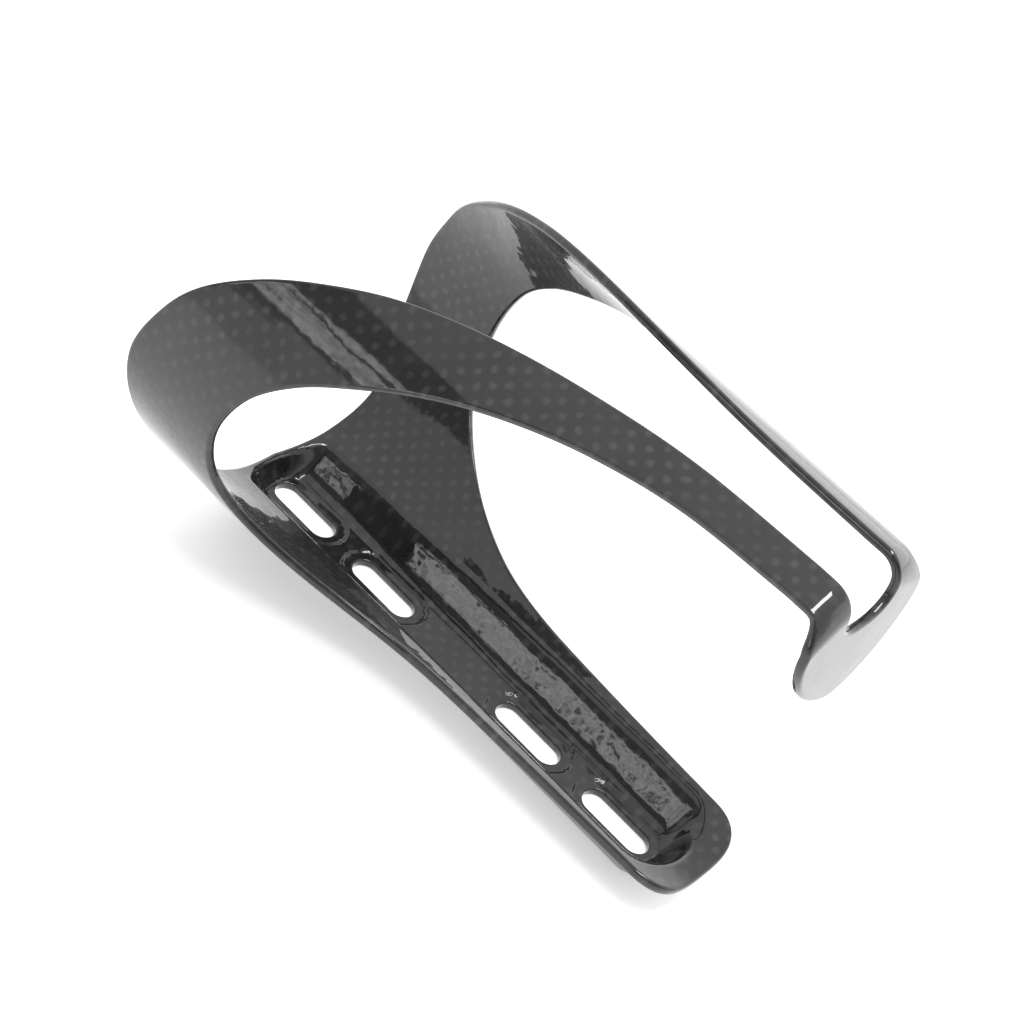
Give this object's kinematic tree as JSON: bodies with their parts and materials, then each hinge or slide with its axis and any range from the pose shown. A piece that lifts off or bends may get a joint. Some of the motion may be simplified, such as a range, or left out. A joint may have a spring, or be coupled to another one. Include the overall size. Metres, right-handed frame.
{
  "type": "water bottle cage",
  "caption": "Moulded carbon-fibre bottle cage: slotted channel spine, two wrap-around arms that taper to parallel strips, and a folded foot that stops the bottle.",
  "frame": {"origin": "middle of the slot pattern on the spine's flat mounting face", "axes": "+Z from the mounting face toward the bottle, +Y along the bottle toward its mouth, +X to the right arm"},
  "size_m": [0.0796, 0.1277, 0.0818],
  "materials": {
    "carbon": "clear-coated woven carbon fibre laminate, glossy"
  },
  "bodies": {
    "root": {"spine_channel": "carbon", "flange_right": "carbon", "flange_left": "carbon", "root_right": "carbon", "root_left": "carbon", "wing_right": "carbon", "wing_left": "carbon", "strip_right": "carbon", "strip_left": "carbon", "bend_right": "carbon", "bend_left": "carbon", "foot": "carbon"}
  },
  "joints": []
}
